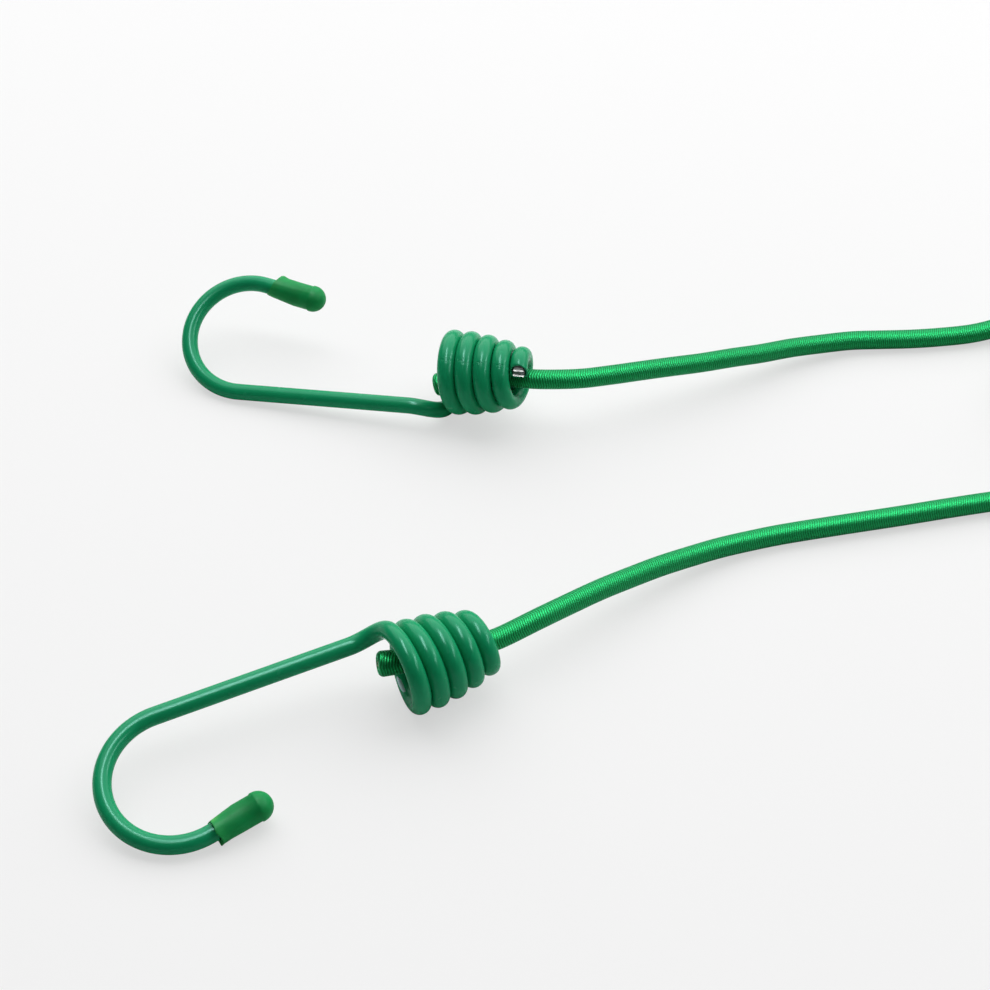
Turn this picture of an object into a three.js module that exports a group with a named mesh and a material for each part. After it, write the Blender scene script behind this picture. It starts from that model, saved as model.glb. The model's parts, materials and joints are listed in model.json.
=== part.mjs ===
// A travel clothesline: one elastic cord with a coated wire hook at each end.
// Millimetres and degrees, +Z up. The line lies on a flat surface at z = 0, and its origin is
// under the middle of the two hooks.
import * as THREE from 'three';

// Clearance between pieces that touch.
const fitGap = 0.3;

// Elastic cord, which leans to the neck's side inside a hook's coil, and lies on the bottom of
// the coil's small end.
const cordDiameter = 6;
const tailLeanPower = 1.8;
const exitDrop = 0.5;

// Cord clamp: a steel ferrule crimped on the cord, which can't pass the coil's small end.
const clampWall = 1.5;
const clampLength = 6;
const clampInset = 7.5;
const clampEdge = 0.5;

// Hook wire: a steel core in a plastic coating, whose torn lip stands past the cut steel.
const coreDiameter = 3.5;
const coatingWall = 0.75;
const lipLength = 0.6;

// Hook coil: close-wound round the clamp and tapered down to the cord.
const coilTurns = 4.75;
const turnGap = 0.45;
const clampPlay = 3.15;
const cordPlay = 0.9;
const taperStartTurn = 1;
const taperPower = 1.8;

// Neck: where the wire turns from the shank into the coil.
const neckBendRadius = 10.3;
const neckRise = 1.65;
const neckEaseTurn = 0.5;

// Shank and bend, in a plane that spreads and leans a little off the coil's axis.
const shankLength = 54.8;
const shankSpreadDeg = 1.9;
const shankLeanDeg = 5.2;
const bendRadius = 19.4;
const tipBendRadius = 17.7;

// Tip cap: a moulded tube with a round head that stands a little proud of it.
const capWall = 1.05;
const capLength = 16.8;
const capGrip = 11.3;
const capFlare = 0.2;
const headLedge = 0.25;
const headBand = 0.5;

// Wound cord: the length between the two free stretches, in two layers of a round coil.
const woundLength = 1300;
const windGap = 0.5;
const windStartDeg = -82;
const windEndDeg = 97;
const windWholeTurns = 6;

// Faces round each section, and steps along each stretch of wire or cord.
const coatingSides = 10;
const coreSides = 6;
const cordSides = 10;
const woundSides = 6;
const turnedSides = 20;
const headSteps = 5;
const tipSteps = 1;
const tipBendSteps = 9;
const bendSteps = 8;
const neckSteps = 5;
const stepsPerTurn = 20;
const stepsPerWind = 24;
const cordStepDiameters = 1.5;

// The hooks differ a little, as hand-fed bends do: the sweep and length of the tip, the slant
// of the cap's cut mouth, and how far the cord's cut tail stands out of the coil's big end and
// off its axis. Each lies with the big end of its coil at x and y, turned to its heading and
// rolled about its coil's axis.
const hooks = {
  a: {
    tipBendDeg: 102.2, tipLength: 14.8, mouthSlantDeg: -22, tailLength: 1.5, tailLean: 4.8,
    x: 30.9, y: 67.1, headingDeg: -15.99, rollDeg: 27.2,
  },
  b: {
    tipBendDeg: 98.9, tipLength: 13.9, mouthSlantDeg: 6, tailLength: 4.6, tailLean: 4.2,
    x: 20.6, y: -54.3, headingDeg: 25.3, rollDeg: 191.7,
  },
};
const steepestTiltDeg = 20;
const tiltHalvings = 24;

// The wound cord's middle, and each free stretch from its hook's coil to the wound cord.
const windCentre = new THREE.Vector2(249.5, 68.5);
const routes = {
  a: [
    [71.5, 59.6, 17.3], [81.5, 62.6, 16.2], [90.5, 66, 14.9], [100, 69.9, 13.2], [109.5, 73.8, 11.4],
    [119.5, 78.3, 9.6], [129.5, 82.9, 7.5], [139.5, 87.7, 5.7], [149.5, 91.3, 4.3], [159.5, 93.9, 3.5],
    [168.5, 94.8, 3.1], [178.5, 95.3, 3], [188.5, 96.3, 3], [198.5, 97.9, 3.1], [206.5, 99.9, 3.9],
    [214.5, 102.7, 5.9], [223.5, 106.1, 8.3],
  ],
  b: [
    [58.5, -34.7, 12.7], [67, -28.2, 11.6], [75.5, -21.6, 10.2], [84, -15.4, 8.5], [93, -9.2, 6.8],
    [102, -3.8, 5.2], [111, 0.8, 4.1], [120, 4.4, 3.3], [129, 7.2, 3], [146.5, 11.1, 3],
    [164.5, 14.9, 3], [182.5, 18.9, 3], [195.5, 21.5, 3], [209.5, 23.3, 3], [226.5, 24.2, 3],
  ],
};
// Cord that runs on along the coil's axis past its small end.
const axisRun = 4;
const heldPoints = 7;

const radians = THREE.MathUtils.degToRad;
const fullTurn = 2 * Math.PI;
const quarterTurn = Math.PI / 2;
const cordRadius = cordDiameter / 2;
const clampRadius = cordRadius + fitGap + clampWall;
const coreRadius = coreDiameter / 2;
const wireRadius = coreRadius + coatingWall;
const coilPitch = 2 * wireRadius + turnGap;
const bigEndRadius = clampRadius + clampPlay + wireRadius;
const smallEndRadius = cordRadius + cordPlay + wireRadius;
const neckRadius = bigEndRadius + neckRise;
const capRadius = wireRadius + fitGap + capWall;

const finish = (color, roughness, metalness) => (
  () => new THREE.MeshStandardMaterial({ color, roughness, metalness })
);
const steel = finish(0xb4b7b8, 0.35, 1);
const coating = finish(0x1e8c5f, 0.25, 0);
const softPlastic = finish(0x238c46, 0.6, 0);
const braid = finish(0x009646, 0.55, 0);

// A line made of stretches, each with its own number of steps. The steps are as close together
// as a stretch bends, so places along it count steps and not millimetres.
class SteppedLine extends THREE.Curve {
  constructor(stretches) {
    super();
    this.stretches = stretches;
    this.steps = stretches.reduce((sum, stretch) => sum + stretch.steps, 0);
  }

  getPoint(t) {
    let left = t * this.steps;
    for (const stretch of this.stretches) {
      if (left <= stretch.steps) {
        return stretch.at(left / stretch.steps);
      }
      left -= stretch.steps;
    }
    return this.stretches.at(-1).at(1);
  }

  getUtoTmapping(u) {
    return u;
  }
}

// A place round a hook's coil: x along its axis, and the angle from the shank's side.
const roundCoil = (x, radius, angle) => new THREE.Vector3(
  x, -radius * Math.cos(angle), -radius * Math.sin(angle),
);

// The neck is an arc laid on the coil's first turn: it leaves the shank along its lean and
// meets the coil along its lead. x is zero where the coil begins.
const neckLead = Math.atan2(coilPitch, fullTurn * neckRadius);
const neckPlace = (u) => {
  const first = radians(shankLeanDeg);
  const last = quarterTurn - neckLead;
  const turned = THREE.MathUtils.lerp(first, last, u);
  const x = neckBendRadius * (Math.sin(turned) - Math.sin(last));
  const angle = neckBendRadius * (Math.cos(first) - Math.cos(turned)) / neckRadius;
  return { x, angle };
};
const neckTurn = neckPlace(1).angle / fullTurn;

// The coil's radius at a turn: it closes down from the neck, then tapers to the small end.
const coilRadiusAt = (turn) => {
  const rise = neckRise * Math.max(0, 1 - turn / neckEaseTurn);
  const taper = Math.max(0, turn - taperStartTurn) / (coilTurns - taperStartTurn);
  return bigEndRadius + rise - (bigEndRadius - smallEndRadius) * taper ** taperPower;
};

// A place in the shank's plane, from the shank's end at the neck.
const inHookPlane = (ahead, across) => {
  const lean = radians(shankLeanDeg);
  return new THREE.Vector3(
    neckPlace(0).x - ahead * Math.cos(lean), across - neckRadius, ahead * Math.sin(lean),
  );
};

// The middle of a hook's wire, from its tip to a turn of its coil. X runs along the coil's axis
// from the big end to the small end, the shank lies at -Y and the bend curls towards +Y.
const hookLine = ({ tipBendDeg, tipLength }, lastTurn) => {
  const spread = radians(shankSpreadDeg);
  const ahead = new THREE.Vector2(Math.cos(spread), -Math.sin(spread));
  const inward = new THREE.Vector2(-ahead.y, ahead.x);
  const shankEnd = ahead.clone().multiplyScalar(shankLength);
  const bendCentre = shankEnd.clone().addScaledVector(inward, bendRadius);
  const tipBendCentre = bendCentre.clone().addScaledVector(ahead, bendRadius - tipBendRadius);
  const onArc = (centre, radius, angle) => centre.clone()
    .addScaledVector(ahead, radius * Math.sin(angle))
    .addScaledVector(inward, -radius * Math.cos(angle));
  const place = (point) => inHookPlane(point.x, point.y);

  const turned = quarterTurn + radians(tipBendDeg);
  const tipBack = ahead.clone().multiplyScalar(Math.cos(turned))
    .addScaledVector(inward, Math.sin(turned));
  const tipBendEnd = onArc(tipBendCentre, tipBendRadius, turned);

  return new SteppedLine([
    {
      steps: tipSteps,
      at: (u) => place(tipBendEnd.clone().addScaledVector(tipBack, tipLength * (1 - u))),
    },
    {
      steps: tipBendSteps,
      at: (u) => {
        const angle = THREE.MathUtils.lerp(turned, quarterTurn, u);
        return place(onArc(tipBendCentre, tipBendRadius, angle));
      },
    },
    { steps: bendSteps, at: (u) => place(onArc(bendCentre, bendRadius, quarterTurn * (1 - u))) },
    { steps: 1, at: (u) => place(shankEnd.clone().multiplyScalar(1 - u)) },
    {
      steps: neckSteps,
      at: (u) => {
        const { x, angle } = neckPlace(u);
        return roundCoil(x, coilRadiusAt(angle / fullTurn), angle);
      },
    },
    {
      steps: Math.round(stepsPerTurn * (coilTurns - neckTurn)),
      at: (u) => {
        const turn = THREE.MathUtils.lerp(neckTurn, lastTurn, u);
        return roundCoil(coilPitch * (turn - neckTurn), coilRadiusAt(turn), fullTurn * turn);
      },
    },
  ]);
};

// The wound cord, seen from above anticlockwise: it spirals in on the surface, climbs a layer
// in the half turn where it reverses, and spirals out on top. Each end runs straight.
const windTurns = windWholeTurns + (windEndDeg - windStartDeg) / 360;
const windStep = cordDiameter + windGap;
const windMiddleRadius = woundLength / (fullTurn * windTurns);
const flatHeight = cordRadius * Math.cos(Math.PI / woundSides);
const windPlace = (turn) => {
  const fromReversal = turn - windTurns / 2;
  const radius = windMiddleRadius + windStep * (Math.abs(fromReversal) - windTurns / 4);
  const climbed = THREE.MathUtils.smoothstep(fromReversal, -1 / 4, 1 / 4);
  const angle = radians(windStartDeg) + fullTurn * turn;
  return new THREE.Vector3(
    windCentre.x + radius * Math.cos(angle),
    windCentre.y + radius * Math.sin(angle),
    flatHeight + windStep * climbed,
  );
};

const windHeading = (turn) => {
  const ahead = windPlace(turn + 1 / stepsPerWind);
  const behind = windPlace(turn - 1 / stepsPerWind);
  return ahead.sub(behind).setZ(0).normalize();
};
const windLead = (turn, distance) => windPlace(turn).addScaledVector(windHeading(turn), distance);

const woundLine = new SteppedLine([
  { steps: 1, at: (u) => windLead(0, -cordDiameter * (1 - u)) },
  { steps: Math.round(stepsPerWind * windTurns), at: (u) => windPlace(windTurns * u) },
  { steps: 1, at: (u) => windLead(windTurns, cordDiameter * u) },
]);

// Least distance between the surfaces of turns of one tube, measured on points of its middle.
const leastGap = (place, turns, diameter) => {
  const count = Math.round(turns * 96);
  const points = Array.from({ length: count + 1 }, (_, i) => place(turns * i / count));
  let least = Infinity;
  points.forEach((point, i) => {
    for (let j = i + 48; j < points.length; j += 1) {
      least = Math.min(least, point.distanceTo(points[j]) - diameter);
    }
  });
  return least;
};

const lineLength = (line) => {
  const points = line.getPoints(line.steps * 4);
  return points.slice(1).reduce((sum, point, i) => sum + point.distanceTo(points[i]), 0);
};

const ring = (radius, sides) => Array.from({ length: sides }, (_, i) => new THREE.Vector2(
  radius * Math.cos(fullTurn * i / sides), radius * Math.sin(fullTurn * i / sides),
));

const alongLine = (line, steps, section) => new THREE.ExtrudeGeometry(section, {
  extrudePath: line, steps, bevelEnabled: false,
});

// Frames that keep a lying cord's section upright, with a flat side down.
const uprightFrames = (line, steps) => {
  const up = new THREE.Vector3(0, 0, 1);
  const tangents = Array.from({ length: steps + 1 }, (_, i) => line.getTangentAt(i / steps));
  const normals = tangents.map((tangent) => up.clone().cross(tangent).normalize());
  const binormals = tangents.map((tangent, i) => tangent.clone().cross(normals[i]));
  return { tangents, normals, binormals };
};

const lyingCord = (line, steps, sides) => {
  line.computeFrenetFrames = () => uprightFrames(line, steps);
  return alongLine(line, steps, new THREE.Shape(ring(cordRadius, sides)));
};

// The cap's bore takes the wire's tip, whose end is the origin, with +Y towards the round head.
const capGeometry = (mouthSlantDeg) => {
  const boreRadius = wireRadius + fitGap;
  const headRadius = capRadius + headLedge;
  const mouth = fitGap - capGrip;
  const headStart = mouth + capLength - headRadius;
  const head = Array.from({ length: headSteps }, (_, i) => {
    const angle = quarterTurn * i / headSteps;
    return new THREE.Vector2(headRadius * Math.cos(angle), headStart + headRadius * Math.sin(angle));
  });
  const profile = [
    new THREE.Vector2(0, fitGap),
    new THREE.Vector2(boreRadius, fitGap),
    new THREE.Vector2(boreRadius, mouth),
    new THREE.Vector2(capRadius + capFlare, mouth),
    new THREE.Vector2(capRadius, mouth + capWall),
    new THREE.Vector2(capRadius, headStart - headBand),
    new THREE.Vector2(headRadius, headStart - headBand),
    ...head,
    new THREE.Vector2(0, headStart + headRadius),
  ];
  const geometry = new THREE.LatheGeometry(profile, turnedSides);
  const places = geometry.getAttribute('position');
  const slant = Math.tan(radians(mouthSlantDeg));
  for (let i = 0; i < places.count; i += 1) {
    if (places.getY(i) <= mouth + capWall) {
      places.setY(i, places.getY(i) + slant * places.getX(i));
    }
  }
  return geometry;
};

// The ferrule is turned about its own +Y, with broken edges.
const clampGeometry = () => {
  const bore = cordRadius + fitGap;
  return new THREE.LatheGeometry([
    new THREE.Vector2(bore, 0),
    new THREE.Vector2(clampRadius - clampEdge, 0),
    new THREE.Vector2(clampRadius, clampEdge),
    new THREE.Vector2(clampRadius, clampLength - clampEdge),
    new THREE.Vector2(clampRadius - clampEdge, clampLength),
    new THREE.Vector2(bore, clampLength),
    new THREE.Vector2(bore, 0),
  ], turnedSides);
};

const named = (name, geometry, material) => {
  const mesh = new THREE.Mesh(geometry, material);
  mesh.name = name;
  return mesh;
};

const coreSection = new THREE.Shape(ring(coreRadius, coreSides));
const coatingSection = new THREE.Shape(ring(wireRadius, coatingSides));
coatingSection.holes.push(new THREE.Path(ring(coreRadius + fitGap, coreSides)));
const coreTurns = coilTurns - lipLength / (fullTurn * smallEndRadius);

const buildCap = (end, line) => {
  const cap = named(`hook_${end}_cap`, capGeometry(hooks[end].mouthSlantDeg), softPlastic());
  const outward = line.getTangent(0).negate();
  const lean = radians(shankLeanDeg);
  const offPlane = new THREE.Vector3(Math.sin(lean), 0, Math.cos(lean));
  const inward = outward.clone().cross(offPlane).normalize();
  cap.quaternion.setFromRotationMatrix(
    new THREE.Matrix4().makeBasis(inward, outward, inward.clone().cross(outward)),
  );
  cap.position.copy(line.getPoint(0));
  return cap;
};

const lowestOf = (hook, isCoil) => {
  const place = new THREE.Vector3();
  let lowest = Infinity;
  hook.updateMatrixWorld(true);
  hook.traverse((mesh) => {
    const places = mesh.geometry?.getAttribute('position');
    for (let i = 0; i < (places?.count ?? 0); i += 1) {
      place.fromBufferAttribute(places, i).applyMatrix4(mesh.matrix);
      if ((place.x > neckPlace(0).x) === isCoil) {
        lowest = Math.min(lowest, place.applyMatrix4(hook.matrix).z);
      }
    }
  });
  return lowest;
};

// Tips a hook about its coil's big end until coil and bend touch the surface together.
const layDown = (hook) => {
  let low = -radians(steepestTiltDeg);
  let high = radians(steepestTiltDeg);
  for (let i = 0; i < tiltHalvings; i += 1) {
    hook.rotation.y = (low + high) / 2;
    if (lowestOf(hook, true) > lowestOf(hook, false)) {
      low = hook.rotation.y;
    } else {
      high = hook.rotation.y;
    }
  }
  hook.position.z -= lowestOf(hook, true);
};

const buildHook = (end) => {
  const { x, y, headingDeg, rollDeg } = hooks[end];
  const coreLine = hookLine(hooks[end], coreTurns);
  const coatingLine = hookLine(hooks[end], coilTurns);
  const hook = new THREE.Group();
  const core = alongLine(coreLine, coreLine.steps, coreSection);
  const sleeve = alongLine(coatingLine, coatingLine.steps, coatingSection);
  hook.add(named(`hook_${end}_core`, core, steel()));
  hook.add(named(`hook_${end}_coating`, sleeve, coating()));
  hook.add(buildCap(end, coatingLine));
  hook.position.set(x, y, 0);
  hook.rotation.set(radians(rollDeg), 0, radians(headingDeg), 'ZYX');
  layDown(hook);
  return hook;
};

// The cord's middle inside a coil, from off the axis at the tail to just under it at the exit.
const coilLength = coilPitch * (coilTurns - neckTurn);
const heldPlace = (end, hook, x) => {
  const { tailLength, tailLean } = hooks[end];
  const back = Math.max(0, coilLength - x) / (coilLength + tailLength);
  const place = hook.localToWorld(new THREE.Vector3(x, -tailLean * back ** tailLeanPower, 0));
  place.z -= exitDrop * (1 - back) ** 2;
  return place;
};

const buildClamp = (end, hook) => {
  const clamp = named(`clamp_${end}`, clampGeometry(), steel());
  clamp.position.copy(heldPlace(end, hook, clampInset));
  const ahead = heldPlace(end, hook, clampInset + clampLength).sub(clamp.position).normalize();
  clamp.quaternion.setFromUnitVectors(new THREE.Vector3(0, 1, 0), ahead);
  return clamp;
};

// A free stretch, from its cut tail through the clamp and the coil to the wound cord.
const buildStretch = (end, hook, arrival) => {
  const held = Array.from({ length: heldPoints }, (_, i) => (
    THREE.MathUtils.lerp(-hooks[end].tailLength, coilLength + axisRun, i / (heldPoints - 1))
  ));
  const line = new THREE.CatmullRomCurve3([
    ...held.map((x) => heldPlace(end, hook, x)),
    ...routes[end].map(([x, y, z]) => new THREE.Vector3(x, y, z)),
    ...arrival,
  ]);
  const steps = Math.round(line.getLength() / (cordStepDiameters * cordDiameter));
  return { line, mesh: named(`cord_${end}`, lyingCord(line, steps, cordSides), braid()) };
};

const part = new THREE.Group();
const built = { a: buildHook('a'), b: buildHook('b') };
const stretchLift = cordRadius * Math.cos(Math.PI / cordSides) - flatHeight;
const lifted = (place) => place.setZ(place.z + stretchLift);
const arrivals = {
  a: [2, 1].map((count) => lifted(windLead(windTurns, count * cordDiameter + fitGap))),
  b: [2, 1].map((count) => lifted(windLead(0, -count * cordDiameter - fitGap))),
};
let cordLength = lineLength(woundLine);
for (const [end, hook] of Object.entries(built)) {
  const { line, mesh } = buildStretch(end, hook, arrivals[end]);
  part.add(hook, buildClamp(end, hook), mesh);
  cordLength += line.getLength();
}
part.add(named('cord_wound', lyingCord(woundLine, woundLine.steps, woundSides), braid()));

// The origin is under the middle of the hooks' own box.
const hooksBox = new THREE.Box3();
Object.values(built).forEach((hook) => hooksBox.expandByObject(hook, true));
const middle = hooksBox.getCenter(new THREE.Vector3());
part.position.set(-middle.x, -middle.y, 0);

const windLeast = leastGap(windPlace, windTurns, cordDiameter);
console.log(`wound cord's least gap to itself: ${windLeast.toFixed(3)}`);
console.log(`cord's length along its middle: ${cordLength.toFixed(1)}`);

export default part;
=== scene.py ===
"""Looks of a travel clothesline: a braided elastic cord with a coated wire hook at each end.

Metres, +Z up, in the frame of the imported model. The two hooks and the cord lie on a pale
surface at z = 0, and the camera looks down on them from the front.
"""

from __future__ import annotations

import json
import logging
import math
from collections.abc import Callable, Iterable, Sequence
from dataclasses import dataclass, field
from enum import Enum

import bpy
from mathutils import Matrix, Vector

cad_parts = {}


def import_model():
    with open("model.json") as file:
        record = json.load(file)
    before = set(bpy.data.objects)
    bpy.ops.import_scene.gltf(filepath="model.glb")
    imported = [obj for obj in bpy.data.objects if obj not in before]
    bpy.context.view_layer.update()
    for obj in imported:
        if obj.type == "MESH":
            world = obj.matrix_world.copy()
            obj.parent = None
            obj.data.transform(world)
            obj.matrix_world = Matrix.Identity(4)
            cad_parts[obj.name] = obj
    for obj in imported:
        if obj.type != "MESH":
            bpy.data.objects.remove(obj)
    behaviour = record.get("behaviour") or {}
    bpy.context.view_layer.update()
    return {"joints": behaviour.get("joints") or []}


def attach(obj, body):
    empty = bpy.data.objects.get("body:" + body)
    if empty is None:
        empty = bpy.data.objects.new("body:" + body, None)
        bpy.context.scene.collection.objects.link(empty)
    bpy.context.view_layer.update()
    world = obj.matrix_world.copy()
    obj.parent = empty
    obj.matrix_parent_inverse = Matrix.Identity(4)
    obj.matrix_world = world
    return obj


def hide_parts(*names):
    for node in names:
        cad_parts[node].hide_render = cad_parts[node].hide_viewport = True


LOG = logging.getLogger("clothesline")
MM = 0.001
Triple = tuple[float, float, float]
Colour = Triple
FULL_TURN = 2.0 * math.pi
QUARTER_TURN = math.pi / 2.0


class End(Enum):
    """The two ends of the line."""

    A = "a"
    B = "b"


class Body(Enum):
    """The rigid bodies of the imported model."""

    CORD = "cord"
    HOOK_A = "hook_a"
    HOOK_B = "hook_b"


class Slot(Enum):
    """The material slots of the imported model."""

    STEEL = "steel"
    COATING = "coating"
    CAP = "cap"
    CORD = "cord"


def mix(low: float, high: float, share: float) -> float:
    """Returns the value at a share of the way from low to high."""
    return low + (high - low) * share


def spaced(count: int) -> list[float]:
    """Returns count + 1 even shares from 0 to 1."""
    return [step / count for step in range(count + 1)]


# Camera and lamps


@dataclass(frozen=True)
class View:
    """The camera: where it looks, from how high and how far, and how long its lens is."""

    target: Vector = Vector((46.19 * MM, 26.85 * MM, 0.0))
    elevation_deg: float = 43.99
    distance: float = 658.2 * MM
    lens_mm: float = 80.5
    sensor_mm: float = 36.0

    def make(self) -> None:
        """Adds the camera and makes it the scene's own."""
        rise = math.radians(self.elevation_deg)
        away = Vector((0.0, -math.cos(rise), math.sin(rise)))
        bpy.ops.object.camera_add(location=self.target + away * self.distance)
        camera = bpy.context.object
        camera.name = "camera"
        camera.rotation_euler = (QUARTER_TURN - rise, 0.0, 0.0)
        camera.data.lens = self.lens_mm
        camera.data.sensor_width = self.sensor_mm
        camera.data.clip_start = 0.01
        camera.data.clip_end = 50.0
        bpy.context.scene.camera = camera


@dataclass(frozen=True)
class Lamp:
    """A soft box: its size, its power and where it hangs above what it lights.

    One that is shine_only is seen in glossy surfaces and gives no other light.
    """

    name: str
    width: float
    depth: float
    watts: float
    azimuth_deg: float
    elevation_deg: float
    distance: float
    shine_only: bool = False

    def make(self, target: Vector) -> None:
        """Hangs the lamp facing its target.

        Args:
            target: The place that the lamp faces.
        """
        turn, rise = math.radians(self.azimuth_deg), math.radians(self.elevation_deg)
        away = Vector(
            (math.sin(turn) * math.cos(rise), math.cos(turn) * math.cos(rise), math.sin(rise))
        )
        bpy.ops.object.light_add(type="AREA", location=target + away * self.distance)
        lamp = bpy.context.object
        lamp.name = self.name
        lamp.rotation_mode = "QUATERNION"
        lamp.rotation_quaternion = (-away).to_track_quat("-Z", "Y")
        lamp.data.shape = "RECTANGLE"
        lamp.data.size = self.width
        lamp.data.size_y = self.depth
        lamp.data.energy = self.watts
        lamp.visible_diffuse = not self.shine_only


LAMPS = (
    Lamp("lamp_back", 3.00, 1.70, 41.0, 14.0, 52.0, 1.20),
    Lamp("lamp_top", 0.60, 0.20, 9.5, 270.0, 84.0, 0.90, True),
    Lamp("lamp_right", 0.70, 0.09, 4.2, 101.0, 40.0, 0.90, True),
    Lamp("wall_right", 2.40, 0.50, 2.0, 95.0, 8.0, 2.50),
)


# Shader nodes


class Term:
    """A number on its way through a material, so that shader maths reads as Python."""

    def __init__(self, shader: Shader, socket: bpy.types.NodeSocket) -> None:
        """Wraps an output socket of a shader."""
        self.shader = shader
        self.socket = socket

    def math(self, operation: str, *others: Term | float) -> Term:
        """Adds one Math node.

        Args:
            operation: The node's operation.
            others: What follows this term in the node's sockets.

        Returns:
            The node's value.
        """
        sockets = dict(enumerate((self, *others)))
        node = self.shader.node("ShaderNodeMath", {"operation": operation}, sockets)
        return Term(self.shader, node.outputs[0])

    def __add__(self, other: Term | float) -> Term:
        """Returns the sum."""
        return self.math("ADD", other)

    __radd__ = __add__

    def __mul__(self, other: Term | float) -> Term:
        """Returns the product."""
        return self.math("MULTIPLY", other)

    __rmul__ = __mul__

    def __sub__(self, other: Term | float) -> Term:
        """Returns the difference."""
        return self.math("SUBTRACT", other)

    def __rsub__(self, other: float) -> Term:
        """Returns a number less this term."""
        return (self * -1.0) + other

    def zigzag(self) -> Term:
        """Returns a wave of straight flanks from 0 to 1 and back, once for each whole number."""
        return (self * 2.0).math("PINGPONG", 1.0)

    def sine(self) -> Term:
        """Returns a sine wave from -1 to 1, once for each whole number."""
        return (self * FULL_TURN).math("SINE")

    def smooth(self, low: float, high: float) -> Term:
        """Adds a smooth step.

        Args:
            low: The value up to which it is 0.
            high: The value from which it is 1.

        Returns:
            The step.
        """
        node = self.shader.node(
            "ShaderNodeMapRange",
            {"interpolation_type": "SMOOTHSTEP"},
            {"Value": self, "From Min": low, "From Max": high},
        )
        return Term(self.shader, node.outputs["Result"])


def painted(red: int, green: int, blue: int) -> Colour:
    """Returns the linear colour of screen values from 0 to 255."""
    shares = (value / 255.0 for value in (red, green, blue))
    return tuple(s / 12.92 if s <= 0.04045 else ((s + 0.055) / 1.055) ** 2.4 for s in shares)


class Shader:
    """The node tree of one material."""

    def __init__(self, name: str) -> None:
        """Makes an empty material.

        Args:
            name: The material's name.
        """
        self.material = bpy.data.materials.new(name)
        self.material.use_nodes = True
        self.tree = self.material.node_tree
        self.tree.nodes.clear()

    def node(
        self,
        kind: str,
        settings: dict[str, object] | None = None,
        sockets: dict[str | int, object] | None = None,
    ) -> bpy.types.Node:
        """Adds a node.

        Args:
            kind: The node's type.
            settings: Its own settings, set first.
            sockets: A value or a link for each socket named or numbered.

        Returns:
            The node.
        """
        node = self.tree.nodes.new(kind)
        for name, value in (settings or {}).items():
            setattr(node, name, value)
        for name, value in (sockets or {}).items():
            if isinstance(value, Term):
                self.tree.links.new(value.socket, node.inputs[name])
            elif isinstance(value, bpy.types.NodeSocket):
                self.tree.links.new(value, node.inputs[name])
            else:
                node.inputs[name].default_value = value
        return node

    def places(self) -> bpy.types.NodeSocket:
        """Returns the place on the piece, in metres."""
        return self.node("ShaderNodeTexCoord").outputs["Object"]

    def parts(self, vector: bpy.types.NodeSocket) -> tuple[Term, Term, Term]:
        """Returns the three numbers of a vector."""
        node = self.node("ShaderNodeSeparateXYZ", None, {"Vector": vector})
        return tuple(Term(self, node.outputs[axis]) for axis in "XYZ")

    def noise(
        self, place: bpy.types.NodeSocket, scale: float, detail: float = 2.0, stretch: Triple = (1, 1, 1)
    ) -> Term:
        """Adds noise.

        Args:
            place: The place that it depends on.
            scale: Features to the metre.
            detail: Octaves of finer noise.
            stretch: A factor on each axis.

        Returns:
            The noise, from 0 to 1.
        """
        node = self.node("ShaderNodeMapping", None, {"Vector": place, "Scale": stretch})
        noise = self.node(
            "ShaderNodeTexNoise",
            None,
            {"Vector": node.outputs["Vector"], "Scale": scale, "Detail": detail},
        )
        return Term(self, noise.outputs["Fac"])

    def attribute(self, name: str) -> Term:
        """Returns a number that the piece's own mesh carries."""
        return Term(self, self.node("ShaderNodeAttribute", {"attribute_name": name}).outputs["Fac"])

    def blend(self, factor: Term, low: Colour | bpy.types.NodeSocket, high: Colour) -> bpy.types.NodeSocket:
        """Mixes two colours.

        Args:
            factor: How far from low to high.
            low: A colour, or a link to one.
            high: A colour.

        Returns:
            The colour between them.
        """
        first = low if isinstance(low, bpy.types.NodeSocket) else (*low, 1.0)
        node = self.node(
            "ShaderNodeMix",
            {"data_type": "RGBA"},
            {0: factor, 6: first, 7: (*high, 1.0)},
        )
        return node.outputs[2]

    def bump(
        self, height: Term, depth: float, below: bpy.types.NodeSocket | None = None
    ) -> bpy.types.NodeSocket:
        """Bends the surface by a height.

        Args:
            height: The height, from 0 to 1.
            depth: What 1 stands for, in metres.
            below: Another bump that this one lies on.

        Returns:
            The bent normal.
        """
        sockets = {"Height": height, "Distance": depth, "Strength": 1.0}
        if below is not None:
            sockets["Normal"] = below
        return self.node("ShaderNodeBump", None, sockets).outputs["Normal"]

    def surface(self, sockets: dict[str, object]) -> bpy.types.Material:
        """Closes the tree with one Principled shader.

        Args:
            sockets: A value or a link for each of the shader's sockets.

        Returns:
            The finished material.
        """
        shader = self.node("ShaderNodeBsdfPrincipled", None, sockets)
        self.node("ShaderNodeOutputMaterial", None, {"Surface": shader.outputs["BSDF"]})
        return self.material


# Finishes


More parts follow.
